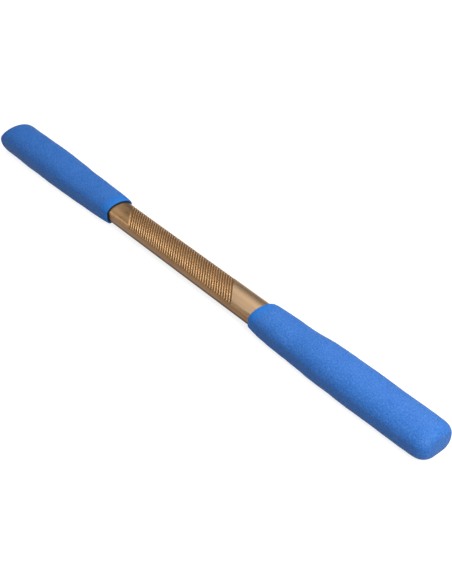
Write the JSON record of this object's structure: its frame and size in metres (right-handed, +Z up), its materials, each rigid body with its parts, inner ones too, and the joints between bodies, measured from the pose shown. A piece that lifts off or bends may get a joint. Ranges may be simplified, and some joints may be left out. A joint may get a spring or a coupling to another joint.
{
  "type": "padded training stick",
  "caption": "Padded martial-arts training stick: bare half-round metal grip, ribbed over its dome, between two closed foam-sleeved ends.",
  "frame": {"origin": "under the middle of the stick, on the surface that the flat undersides of the two foam sleeves rest on", "axes": "+X along the stick towards the sleeve beside the longer smooth stretch of bar, +Z up through the ribbed dome, +Y across the stick"},
  "size_m": [0.46, 0.0296, 0.0211],
  "materials": {
    "bronze_bar": "bronze-coloured anodised aluminium, fine lengthwise brushing, satin",
    "core_nylon": "black glass-filled nylon, fine moulded grain",
    "pin_steel": "bright spring steel",
    "black_rubber": "soft black rubber, matte",
    "blue_foam": "closed-cell foam rubber, bright blue, matte with a fine skin"
  },
  "bodies": {
    "root": {"handle_bar": "bronze_bar", "left_upper_core": "core_nylon", "left_lower_core": "core_nylon", "left_inner_pin": "pin_steel", "left_outer_pin": "pin_steel", "left_end_bumper": "black_rubber", "left_mouth_liner": "black_rubber", "left_foam_sleeve": "blue_foam", "right_upper_core": "core_nylon", "right_lower_core": "core_nylon", "right_inner_pin": "pin_steel", "right_outer_pin": "pin_steel", "right_end_bumper": "black_rubber", "right_mouth_liner": "black_rubber", "right_foam_sleeve": "blue_foam"}
  },
  "joints": []
}
